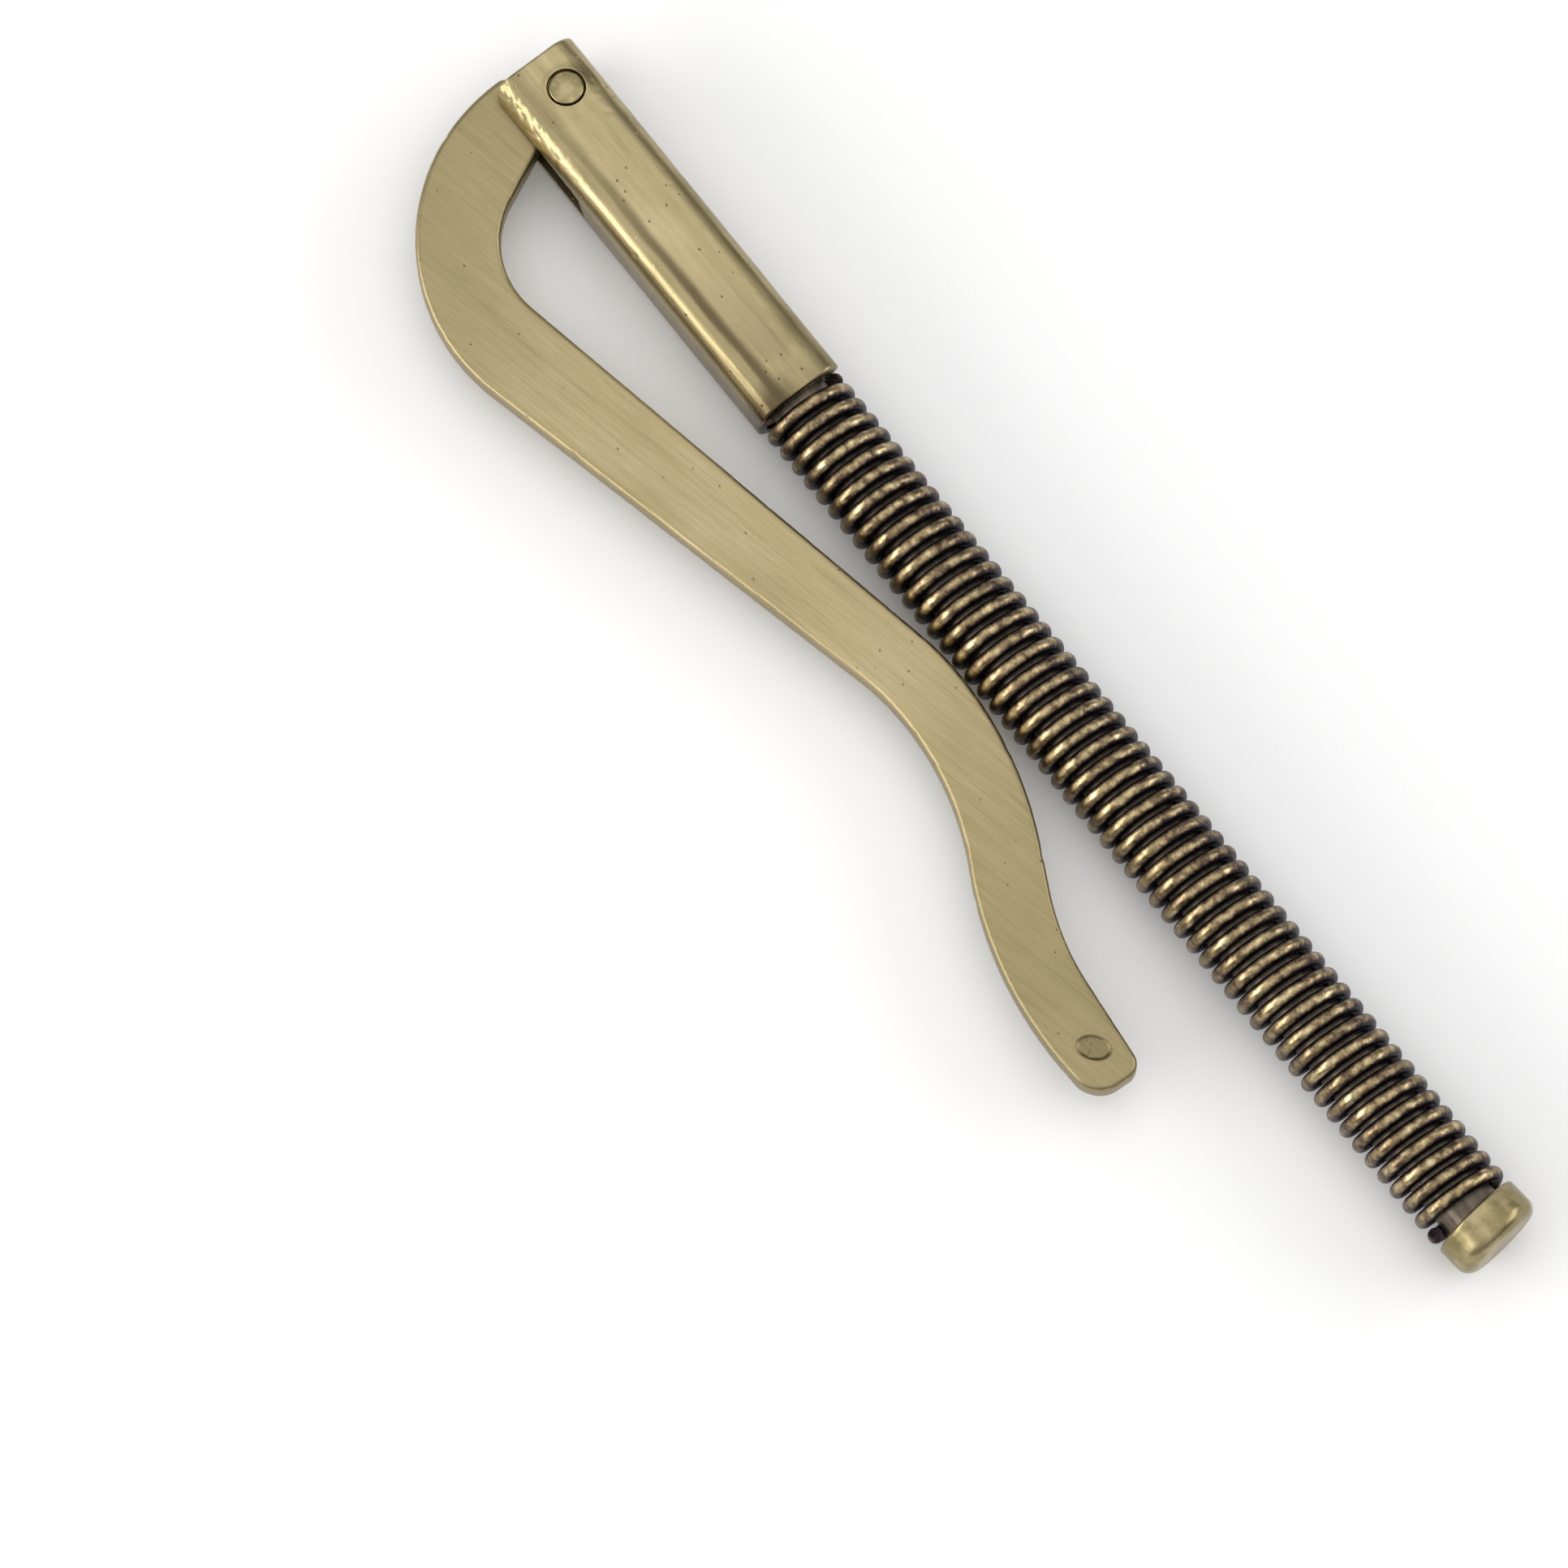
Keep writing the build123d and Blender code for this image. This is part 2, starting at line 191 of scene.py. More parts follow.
class Nodes:
    """Short calls for building one material's node tree."""

    def __init__(self, name):
        self.material = bpy.data.materials.new(name)
        self.material.use_nodes = True
        self.tree = self.material.node_tree
        self.shader = self.tree.nodes["Principled BSDF"]
        self.place = self.add("ShaderNodeTexCoord").outputs["Object"]

    def add(self, kind, **settings):
        node = self.tree.nodes.new(kind)
        for key, value in settings.items():
            setattr(node, key, value)
        return node

    def link(self, source, target):
        self.tree.links.new(source, target)

    def math(self, operation, a, b=0.0, c=0.0, clamp=False):
        node = self.add("ShaderNodeMath", operation=operation, use_clamp=clamp)
        for socket, value in zip(node.inputs, (a, b, c)):
            if isinstance(value, (int, float)):
                socket.default_value = value
            else:
                self.link(value, socket)
        return node.outputs[0]

    def mapped(self, scale, turn=0.0, offset=(0, 0, 0)):
        """Object coordinates in millimetres, turned about Z, then scaled."""
        turned = self.add("ShaderNodeMapping")
        turned.inputs["Rotation"].default_value = (0, 0, math.radians(-turn))
        turned.inputs["Location"].default_value = offset
        turned.inputs["Scale"].default_value = (1000, 1000, 1000)
        self.link(self.place, turned.inputs["Vector"])
        stretched = self.add("ShaderNodeMapping")
        stretched.inputs["Scale"].default_value = scale
        self.link(turned.outputs[0], stretched.inputs["Vector"])
        return stretched.outputs[0]

    def noise(self, vector, scale=1.0, detail=3.0, roughness=0.55, distortion=0.0):
        node = self.add("ShaderNodeTexNoise")
        node.inputs["Scale"].default_value = scale
        node.inputs["Detail"].default_value = detail
        node.inputs["Roughness"].default_value = roughness
        node.inputs["Distortion"].default_value = distortion
        self.link(vector, node.inputs["Vector"])
        return node.outputs["Fac"]

    def cells(self, vector, scale=1.0, feature="F1"):
        node = self.add("ShaderNodeTexVoronoi", feature=feature)
        node.inputs["Scale"].default_value = scale
        self.link(vector, node.inputs["Vector"])
        return node.outputs["Distance"]

    def span(self, value, low, high, out_low=0.0, out_high=1.0):
        node = self.add("ShaderNodeMapRange", interpolation_type="SMOOTHSTEP")
        for socket, number in zip(node.inputs[1:5], (low, high, out_low, out_high)):
            socket.default_value = number
        self.link(value, node.inputs[0])
        return node.outputs[0]

    def ramp(self, value, stops):
        node = self.add("ShaderNodeValToRGB")
        while len(node.color_ramp.elements) < len(stops):
            node.color_ramp.elements.new(0.5)
        for element, (position, colour) in zip(node.color_ramp.elements, stops):
            element.position = position
            element.color = (*colour, 1.0)
        self.link(value, node.inputs[0])
        return node.outputs[0]

    def mix(self, factor, a, b, blend_type="MIX"):
        node = self.add("ShaderNodeMix", data_type="RGBA", blend_type=blend_type)
        for socket, value in zip((node.inputs[0], node.inputs[6], node.inputs[7]), (factor, a, b)):
            if isinstance(value, tuple):
                socket.default_value = (*value, 1.0)
            elif isinstance(value, (int, float)):
                socket.default_value = value
            else:
                self.link(value, socket)
        return node.outputs[2]

    def bumps(self, *layers):
        """Chained bumps, each (height, distance in millimetres, strength)."""
        normal = None
        for height, distance, strength in layers:
            node = self.add("ShaderNodeBump")
            node.inputs["Strength"].default_value = strength
            node.inputs["Distance"].default_value = distance * MM
            self.link(height, node.inputs["Height"])
            if normal is not None:
                self.link(normal, node.inputs["Normal"])
            normal = node.outputs[0]
        self.link(normal, self.shader.inputs["Normal"])

    def finish(self, colour, roughness, metallic=1.0):
        self.shader.inputs["Metallic"].default_value = metallic
        self.link(colour, self.shader.inputs["Base Color"])
        if isinstance(roughness, (int, float)):
            self.shader.inputs["Roughness"].default_value = roughness
        else:
            self.link(roughness, self.shader.inputs["Roughness"])
        return self.material


BRASS_LIGHT = (0.58, 0.475, 0.29)
BRASS_MID = (0.44, 0.36, 0.195)
BRASS_OLIVE = (0.29, 0.245, 0.12)
BRASS_SHADE = (0.20, 0.165, 0.075)
# dark brown of the real patina in pits, specks and the pressed mark, also used for painted reflection
# bands and painted shade on the housing
PATINA_AND_PAINTED_SHADE = (0.10, 0.075, 0.04)
# near black of the patina between the spring's coils, also the painted shade on the coil sides
BLACK_PATINA_AND_SHADE = (0.012, 0.010, 0.012)
BRUSH_ANGLE = 11.5


def mark_mask(n, axes):
    """Patina caught in the pressed oval: strong at its rim, weaker inside, none outside."""
    dx = n.math("SUBTRACT", axes.outputs["X"], MARK_AT[0])
    dy = n.math("SUBTRACT", axes.outputs["Y"], MARK_AT[1])
    cos, sin = math.cos(MARK_ANGLE), math.sin(MARK_ANGLE)
    u = n.math("ADD", n.math("MULTIPLY", dx, cos), n.math("MULTIPLY", dy, sin))
    v = n.math("SUBTRACT", n.math("MULTIPLY", dy, cos), n.math("MULTIPLY", dx, sin))
    u = n.math("DIVIDE", u, MARK_RADII[0])
    v = n.math("DIVIDE", v, MARK_RADII[1])
    d = n.math("SQRT", n.math("ADD", n.math("MULTIPLY", u, u), n.math("MULTIPLY", v, v)))
    rim = n.math("MULTIPLY", n.span(d, 0.70, 0.88), n.span(d, 0.92, 1.06, 1.0, 0.0))
    bed = n.span(d, 0.75, 0.95, 0.35, 0.0)
    return n.math("MAXIMUM", n.math("MULTIPLY", rim, 0.5), bed)


def arm_brass():
    """Antique brass brushed along the arm, with small pits and a patina film. The sides and underside
    are darkened as painted shade.
    """
    n = Nodes("arm_brass")
    fine = n.noise(n.mapped((0.35, 9.0, 2.0), BRUSH_ANGLE), 1.0, 4.0, 0.65)
    coarse = n.noise(n.mapped((0.12, 2.6, 1.0), BRUSH_ANGLE), 1.0, 3.0, 0.6)
    cloud = n.noise(n.mapped((0.16, 0.3, 0.3), BRUSH_ANGLE), 1.0, 3.0, 0.5)
    grain = n.noise(n.mapped((6.0, 9.0, 6.0)), 1.0, 2.0, 0.5)
    pits = n.span(n.cells(n.mapped((0.9, 1.1, 1.0))), 0.02, 0.09, 1.0, 0.0)
    streaks = n.math("ADD", n.math("MULTIPLY", fine, 0.55), n.math("MULTIPLY", coarse, 0.45))
    tone = n.math("ADD", n.math("MULTIPLY", streaks, 0.75), n.math("MULTIPLY", cloud, 0.25))
    colour = n.ramp(tone, [(0.30, BRASS_OLIVE), (0.50, BRASS_MID), (0.72, BRASS_LIGHT)])
    colour = n.mix(n.math("MULTIPLY", pits, 0.6), colour, PATINA_AND_PAINTED_SHADE)
    axes = n.add("ShaderNodeSeparateXYZ")
    n.link(n.mapped((1, 1, 1)), axes.inputs[0])
    hook = n.span(axes.outputs["X"], 2.0, 17.0, 0.42, 0.0)
    tail = n.span(axes.outputs["X"], 30.0, 58.0, 0.0, 0.50)
    colour = n.mix(n.math("ADD", hook, tail), colour, BRASS_SHADE)
    # painted shade: the sides and underside of the plate are darkened below the top face
    low = n.span(axes.outputs["Z"], 0.30, 0.60, 0.45, 0.0)
    colour = n.mix(low, colour, BRASS_SHADE)
    colour = n.mix(mark_mask(n, axes), colour, PATINA_AND_PAINTED_SHADE)
    rough = n.math("ADD", n.math("MULTIPLY", streaks, 0.22), 0.30)
    n.bumps((streaks, 0.035, 0.55), (grain, 0.012, 0.35), (n.math("SUBTRACT", 1.0, pits), 0.05, 0.6))
    n.shader.inputs["Anisotropic"].default_value = 0.35
    return n.finish(colour, rough)


def housing_brass():
    """Rubbed antique brass: satin along the bar, dark specks, brown towards the spring. Dark painted
    reflection bands run along the -Y rounding, and painted shade darkens the lower side wall, the +Y
    edge and the far end.
    """
    n = Nodes("housing_brass")
    along = n.noise(n.mapped((0.10, 2.2, 2.2)), 1.0, 4.0, 0.6)
    cloud = n.noise(n.mapped((0.22, 0.6, 0.6), 0, (4, 1, 0)), 1.0, 4.0, 0.55)
    grain = n.noise(n.mapped((7.0, 10.0, 10.0)), 1.0, 3.0, 0.6)
    specks = n.span(n.cells(n.mapped((1.1, 1.6, 1.6))), 0.03, 0.12, 1.0, 0.0)
    axes = n.add("ShaderNodeSeparateXYZ")
    n.link(n.mapped((1, 1, 1)), axes.inputs[0])
    brown = n.span(axes.outputs["X"], 11.0, 22.5)
    mottled = n.math("MULTIPLY", brown, n.span(cloud, 0.35, 0.65))
    tone = n.math("ADD", n.math("MULTIPLY", along, 0.5), n.math("MULTIPLY", cloud, 0.5))
    colour = n.ramp(tone, [(0.30, BRASS_OLIVE), (0.52, BRASS_MID), (0.75, BRASS_LIGHT)])
    colour = n.mix(n.math("MULTIPLY", mottled, 0.45), colour, PATINA_AND_PAINTED_SHADE)
    colour = n.mix(n.math("MULTIPLY", specks, 0.75), colour, PATINA_AND_PAINTED_SHADE)
    # painted reflection: two dark bands along the -Y rounding where it would reflect something dark,
    # stronger towards the far end
    y = n.math("ADD", axes.outputs["Y"], n.math("MULTIPLY", n.math("SUBTRACT", cloud, 0.5), 0.5))
    front = n.span(axes.outputs["Z"], 1.2, 1.7)
    upper = n.math("MULTIPLY", n.span(y, -1.50, -1.20), n.span(y, -1.05, -0.55, 1.0, 0.0))
    lower = n.math("MULTIPLY", n.span(y, -2.42, -2.25), n.span(y, -2.12, -1.92, 1.0, 0.0))
    growing = n.span(axes.outputs["X"], 3.0, 16.0, 0.30, 0.88)
    painted_reflection_bands = n.math("MULTIPLY", n.math("MAXIMUM", upper, n.math("MULTIPLY", lower, 0.7)), growing)
    colour = n.mix(n.math("MULTIPLY", painted_reflection_bands, front), colour, PATINA_AND_PAINTED_SHADE)
    # painted shade where the housing meets the spring, strongest on the -Y side
    far_end = n.span(axes.outputs["X"], 20.6, 22.4)
    far_corner_shade = n.math("MULTIPLY", far_end, n.span(y, -1.6, 0.6, 0.85, 0.25))
    colour = n.mix(far_corner_shade, colour, PATINA_AND_PAINTED_SHADE)
    # painted shade: the side wall below the front rounding is darkened
    side_wall_shade = n.span(axes.outputs["Z"], 0.4, 1.1, 0.55, 0.0)
    colour = n.mix(side_wall_shade, colour, PATINA_AND_PAINTED_SHADE)
    # painted shade along the +Y edge, on the side away from the main light, broken up by the cloud
    # noise
    plus_side = n.span(axes.outputs["Y"], 0.8, 1.9)
    plus_edge_shade = n.math("MULTIPLY", plus_side, n.span(cloud, 0.42, 0.60, 0.0, 0.6))
    colour = n.mix(plus_edge_shade, colour, BRASS_SHADE)
    rough = n.math("ADD", n.math("MULTIPLY", cloud, 0.22), 0.20)
    n.bumps((along, 0.03, 0.35), (grain, 0.010, 0.3), (n.math("SUBTRACT", 1.0, specks), 0.05, 0.5))
    return n.finish(colour, rough)


def spring_wire():
    """Plated wire: gold where the crests are rubbed, near black in between. The gold is also painted
    stronger on the upward-facing side, so the coil sides are darker as painted shade.
    """
    n = Nodes("spring_wire")
    axes = n.add("ShaderNodeSeparateXYZ")
    n.link(n.mapped((1, 1, 1)), axes.inputs[0])
    square_y = n.math("MULTIPLY", axes.outputs["Y"], axes.outputs["Y"])
    square_z = n.math("MULTIPLY", axes.outputs["Z"], axes.outputs["Z"])
    radius = n.math("SQRT", n.math("ADD", square_y, square_z))
    blotch = n.noise(n.mapped((1.6, 1.6, 1.6)), 1.0, 4.0, 0.65)
    flecks = n.noise(n.mapped((4.5, 4.5, 4.5), 0, (3, 5, 7)), 1.0, 3.0, 0.6)
    worn = n.math("ADD", radius, n.math("MULTIPLY", n.math("SUBTRACT", blotch, 0.5), 0.30))
    # painted light: the rubbed gold is painted stronger on the upward-facing side of the coil and
    # weaker on its sides
    top_light = n.span(axes.outputs["Z"], 0.2, 2.0, 0.45, 1.0)
    wear_and_top_light = n.math("MULTIPLY", n.span(worn, 2.40, 2.62), top_light)
    rubbed = [(0.34, (0.24, 0.15, 0.08)), (0.5, (0.45, 0.34, 0.17)), (0.68, (0.72, 0.58, 0.33))]
    brass = n.ramp(blotch, rubbed)
    # near-black patina in the hollows, which also serves as painted shade on the coil sides
    grime_and_shade = [(0.35, BLACK_PATINA_AND_SHADE), (0.62, (0.045, 0.034, 0.042)), (0.8, (0.17, 0.10, 0.06))]
    dark = n.ramp(flecks, grime_and_shade)
    colour = n.mix(wear_and_top_light, dark, brass)
    rough = n.span(wear_and_top_light, 0.0, 1.0, 0.42, 0.27)
    n.bumps((blotch, 0.02, 0.4), (flecks, 0.015, 0.4))
    return n.finish(colour, rough)


def cap_brass(name="cap_brass"):
    """Satin brass with a pebbly skin."""
    n = Nodes(name)
    cloud = n.noise(n.mapped((0.7, 0.7, 0.7), 0, (2, 4, 1)), 1.0, 4.0, 0.6)
    grain = n.noise(n.mapped((5.0, 5.0, 5.0)), 1.0, 3.0, 0.6)
    specks = n.span(n.cells(n.mapped((2.4, 2.4, 2.4))), 0.03, 0.12, 1.0, 0.0)
    colour = n.ramp(cloud, [(0.32, BRASS_OLIVE), (0.55, BRASS_MID), (0.75, BRASS_LIGHT)])
    colour = n.mix(n.span(cloud, 0.40, 0.62, 0.6, 0.2), colour, BRASS_SHADE)
    colour = n.mix(n.math("MULTIPLY", specks, 0.5), colour, PATINA_AND_PAINTED_SHADE)
    rough = n.math("ADD", n.math("MULTIPLY", cloud, 0.2), 0.22)
    n.bumps((cloud, 0.03, 0.4), (grain, 0.012, 0.35))
    return n.finish(colour, rough)


def plain_metal(name, dark, light, rough_low, stretch):
    """Drawn or turned metal for the pieces that are mostly hidden."""
    n = Nodes(name)
    streak = n.noise(n.mapped(stretch), 1.0, 4.0, 0.6)
    cloud = n.noise(n.mapped((0.8, 0.8, 0.8)), 1.0, 3.0, 0.5)
    tone = n.math("ADD", n.math("MULTIPLY", streak, 0.6), n.math("MULTIPLY", cloud, 0.4))
    colour = n.ramp(tone, [(0.3, dark), (0.7, light)])
    rough = n.math("ADD", n.math("MULTIPLY", streak, 0.25), rough_low)
    n.bumps((streak, 0.02, 0.4))
    return n.finish(colour, rough)


def floor_white():
    n = Nodes("floor_white")
    tone = n.noise(n.mapped((0.02, 0.02, 0.02)), 1.0, 2.0, 0.5)
    colour = n.ramp(tone, [(0.0, (0.96, 0.96, 0.96)), (1.0, (0.98, 0.98, 0.98))])
    return n.finish(colour, 0.9, 0.0)


# ---- clip arm -----------------------------------------------------------------------------

OUTLINE_STEP = 0.14
BRIM_SEGMENTS = 5


def trace(start, heading, moves):
    """Points along tangent lines and arcs. A move is ("line", length) or ("arc", radius, turn)."""
    points = [start]
    angle = math.radians(heading)
    for move in moves:
        x, y = points[-1]
        if move[0] == "line":
            count = max(2, round(move[1] / OUTLINE_STEP))
            for i in range(1, count + 1):
                d = move[1] * i / count
                points.append((x + d * math.cos(angle), y + d * math.sin(angle)))
        else:
            radius, turn = move[1], math.radians(move[2])
            side = 1 if turn > 0 else -1
            cx = x - side * radius * math.sin(angle)
            cy = y + side * radius * math.cos(angle)
            count = max(3, round(abs(turn) * radius / OUTLINE_STEP))
            for i in range(1, count + 1):
                a = angle + turn * i / count
                points.append((cx + side * radius * math.sin(a), cy - side * radius * math.cos(a)))
            angle += turn
    return points


def arm_outline():
    """The arm's outline, anticlockwise, with the tail's eye and lobe."""
    far_edge = trace(
        (-0.65, -1.8),
        -90,
        [
            ("arc", 10.66, 102.8),
            ("line", 24.2),
            ("arc", 14.4, -12.8),
            ("arc", 16.4, -29.9),
            ("arc", 21.0, 31.4),
            ("line", 1.0),
            ("arc", 1.62, 84.0),
        ],
    )
    near_edge = trace(
        (4.865, -5.0),
        -66,
        [
            ("arc", 4.8, 76.4),
            ("line", 26.7),
            ("arc", 14.4, -10.4),
            ("arc", 20.8, -27.5),
            ("line", 2.6),
            ("arc", 14.0, 21.0),
            ("line", 4.4),
            ("arc", 0.95, -78.0),
        ],
    )
    neck = trace((3.42, -1.76), -66, [("line", 3.4)])
    lobe = [
        (LINK_AT[0] + 0.95 * math.cos(a), LINK_AT[1] + 0.95 * math.sin(a))
        for a in np.radians(np.arange(25, -80, -8))
    ]
    eye = [
        (PIVOT[0] + 1.42 * math.cos(a), PIVOT[1] + 1.42 * math.sin(a))
        for a in np.radians(np.arange(235, 8, -6))
    ]
    shoulder = [(-0.65, -1.5), (-0.55, -1.26), (-0.3, -1.15), (0.3, -1.14), (0.9, -1.1)]
    outline = far_edge + near_edge[::-1] + neck[::-1] + lobe[::-1] + eye[::-1] + shoulder[::-1]
    return thin_out(outline)


def thin_out(points, gap=0.05):
    """Drops points that lie on the one before them."""
    kept = [points[0]]
    for p in points[1:]:
        if math.dist(p, kept[-1]) > gap:
            kept.append(p)
    if math.dist(kept[0], kept[-1]) <= gap:
        kept.pop()
    return kept


def outward_normals(loop):
    """Unit normals of an anticlockwise loop, pointing out of it."""
    after = np.roll(loop, -1, axis=0) - loop
    before = loop - np.roll(loop, 1, axis=0)
    tangent = after / np.linalg.norm(after, axis=1)[:, None]
    tangent = tangent + before / np.linalg.norm(before, axis=1)[:, None]
    tangent /= np.linalg.norm(tangent, axis=1)[:, None]
    return np.stack([tangent[:, 1], -tangent[:, 0]], axis=1)


def inside(points, loop):
    """Which points lie inside the loop."""
    x, y = points[:, 0][:, None], points[:, 1][:, None]
    x0, y0 = loop[:, 0][None], loop[:, 1][None]
    x1, y1 = np.roll(loop[:, 0], -1)[None], np.roll(loop[:, 1], -1)[None]
    crosses = (y0 > y) != (y1 > y)
    with np.errstate(divide="ignore", invalid="ignore"):
        at = x0 + (y - y0) * (x1 - x0) / (y1 - y0)
    return (crosses & (x < at)).sum(axis=1) % 2 == 1


def mark_distance(points):
    """0 at the centre of the oval mark and 1 on its rim."""
    dx, dy = points[:, 0] - MARK_AT[0], points[:, 1] - MARK_AT[1]
    u = (dx * math.cos(MARK_ANGLE) + dy * math.sin(MARK_ANGLE)) / MARK_RADII[0]
    v = (-dx * math.sin(MARK_ANGLE) + dy * math.cos(MARK_ANGLE)) / MARK_RADII[1]
    return np.hypot(u, v)


def face_height(points, top):
    """How far a point of the flat face stands above or below it."""
    flat = np.column_stack([points, np.full(len(points), 0.0 if top else 9.0)])
    height = 0.006 * noise_at(flat, 0.45, 1.0) + 0.003 * noise_at(flat, 1.6, 2.0)
    if top:
        d = mark_distance(points)
        height -= MARK_DEPTH * (1 - smoothstep(0.72, 1.0, d))
        height += 0.022 * np.exp(-(((d - 1.13) / 0.10) ** 2))
        pebbles = noise_at(flat, 4.6, 3.0) + 0.6 * noise_at(flat, 9.0, 4.0)
        height += 0.045 * pebbles * (1 - smoothstep(0.6, 0.95, d))
    return height


def build_arm():
    """Flat plate with rounded edges, an uneven sheared side and the pressed mark."""
    draw = random.Random(SEED)
    outline = np.array(arm_outline())
    normals = outward_normals(outline)
    count = len(outline)
    points, faces, rings = [], [], []

    def add_ring(inset, height):
        rings.append(len(points))
        moved = outline - normals * inset
        points.extend((x, y, height) for x, y in moved)
        return moved

    angles = [math.pi / 2 * i / BRIM_SEGMENTS for i in range(BRIM_SEGMENTS + 1)]
    r = ARM_EDGE_ROUND
    for a in angles:
        add_ring(r * (1 - math.sin(a)), ARM_HALF - r + r * math.cos(a))
    for share in (0.6, 0.2, -0.2, -0.6):
        add_ring(0.0, share * (ARM_HALF - r) / 0.8)
    for a in reversed(angles):
        add_ring(r * (1 - math.sin(a)), -(ARM_HALF - r + r * math.cos(a)))

    # nicks and a sheared roughness on the sides
    sides = np.array(points)
    normal3 = np.tile(np.column_stack([normals, np.zeros(count)]), (len(rings), 1))
    rough = noise_at(sides, 1.1, 5.0) * 0.010 + noise_at(sides, 3.2, 6.0) * 0.006
    for _ in range(70):
        at = sides[draw.randrange(len(sides))]
        size = draw.uniform(0.10, 0.26)
        d = np.linalg.norm(sides - at, axis=1)
        rough -= draw.uniform(0.015, 0.05) * np.exp(-((d / size) ** 2))
    on_side = 1 - smoothstep(ARM_HALF - 0.5 * r, ARM_HALF, np.abs(sides[:, 2]))
    sides += normal3 * (rough * on_side)[:, None]
    points = [tuple(p) for p in sides]
    for a, b in zip(rings, rings[1:]):
        for i in range(count):
            j = (i + 1) % count
            faces.append((a + i, a + j, b + j, b + i))

    # faces: rim ring, hole rings and an inner grid, triangulated together
    rim = outline - normals * r
    holes = [
        np.array(circle(PIVOT, RIVET_SHANK_RADIUS + 0.03, 32)),
        np.array(circle(LINK_AT, LINK_PIN_RADIUS + 0.01, 28)),
    ]
    low, high = outline.min(axis=0), outline.max(axis=0)
    xs, ys = np.meshgrid(np.arange(low[0], high[0], 0.34), np.arange(low[1], high[1], 0.34))
    coarse = np.column_stack([xs.ravel(), ys.ravel()])
    coarse = coarse[inside(coarse, outline - normals * (r + 0.16))]
    coarse = coarse[mark_distance(coarse) > 1.45]
    xs, ys = np.meshgrid(np.arange(-1.5, 1.5, 0.06), np.arange(-1.5, 1.5, 0.06))
    fine = np.column_stack([xs.ravel() + MARK_AT[0], ys.ravel() + MARK_AT[1]])
    fine = fine[mark_distance(fine) < 1.4]
    for hole in holes:
        centre, reach = hole.mean(axis=0), np.linalg.norm(hole[0] - hole.mean(axis=0)) + 0.1
        coarse = coarse[np.linalg.norm(coarse - centre, axis=1) > reach]
    flat_points = np.vstack([rim, *holes, coarse, fine])
    edges, start = [], 0
    for loop in (rim, *holes):
        edges += [(start + i, start + (i + 1) % len(loop)) for i in range(len(loop))]
        start += len(loop)
    result = delaunay_2d_cdt([Vector(p) for p in flat_points], edges, [], 0, 1e-5)
    flat = np.array([tuple(v) for v in result[0]])
    triangles = result[2]
    centres = np.array([flat[list(t)].mean(axis=0) for t in triangles])
    keep = inside(centres, rim)
    for hole in holes:
        keep &= ~inside(centres, hole)
    triangles = [t for t, k in zip(triangles, keep) if k]
    near_rim = np.array([np.abs(rim - p).sum(axis=1).min() for p in flat])
    calm = smoothstep(0.02, 0.5, near_rim)
    for top in (True, False):
        base = len(points)
        sign = 1 if top else -1
        height = sign * ARM_HALF + sign * face_height(flat, top) * calm
        points += [(x, y, z) for (x, y), z in zip(flat, height)]
        faces += [tuple(base + i for i in (t if top else reversed(t))) for t in triangles]

    # walls of the two holes
    for hole in holes:
        base = len(points)
        points += [(x, y, ARM_HALF) for x, y in hole] + [(x, y, -ARM_HALF) for x, y in hole]
        size = len(hole)
        for i in range(size):
            j = (i + 1) % size
            faces.append((base + i, base + size + i, base + size + j, base + j))

    piece = mesh_piece("arm_plate", points, faces)
    weld(piece, 0.004)
    shade(piece, 45)
    piece.data.materials.append(arm_brass())
    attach(piece, "arm")
    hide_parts("clip_arm")
    return piece


def weld(piece, distance_mm):
    work = bmesh.new()
    work.from_mesh(piece.data)
    bmesh.ops.remove_doubles(work, verts=work.verts, dist=distance_mm * MM)
    bmesh.ops.recalc_face_normals(work, faces=work.faces)
    work.to_mesh(piece.data)
    work.free()


# ---- housing ------------------------------------------------------------------------------

HOUSING_SKEW = 0.5
STATION_STEP = 0.12
END_ROUND = 0.16
BLANK_CORNER = 0.9
FRONT_WALL_EXTRA = 0.30


def section_points():
    """Outer section of the folded strip from the seam's upper edge, over the front, to the
    seam's lower edge: (y, z, normal y, normal z)."""
    a, b, r = HOUSING_WIDTH / 2, HOUSING_HEIGHT / 2, HOUSING_CORNER
    path = []

    def side(start, end, normal):
        length = math.dist(start, end)
        count = max(1, round(length / 0.1))
        for i in range(count):
            t = i / count
            y = start[0] + t * (end[0] - start[0])
            z = start[1] + t * (end[1] - start[1])
            path.append((y, z, *normal))

    def corner(centre, begin):
        count = 22
        for i in range(count):
            t = math.radians(begin - 90 * i / count)
            cos, sin = math.cos(t), math.sin(t)
            path.append((centre[0] + r * cos, centre[1] + r * sin, cos, sin))

    side((-a, SEAM_Z + SEAM_GAP / 2), (-a, b - r), (-1, 0))
    corner((-a + r, b - r), 180)
    side((-a + r, b), (a - r, b), (0, 1))
    corner((a - r, b - r), 90)
    side((a, b - r), (a, -b + r), (1, 0))
    corner((a - r, -b + r), 0)
    side((a - r, -b), (-a + r, -b), (0, -1))
    corner((-a + r, -b + r), -90)
    side((-a, -b + r), (-a, SEAM_Z - SEAM_GAP / 2), (-1, 0))
    path.append((-a, SEAM_Z - SEAM_GAP / 2, -1, 0))
    return np.array(path)


def housing_stations():
    """Positions along the bar, closer together at the two rounded ends."""
    ends = [END_ROUND * (1 - math.cos(math.pi / 2 * i / 5)) for i in range(6)]
    inner = np.arange(0.3, HOUSING_LENGTH - 0.3, STATION_STEP)
    return np.array(ends + list(inner) + [HOUSING_LENGTH - e for e in reversed(ends)])


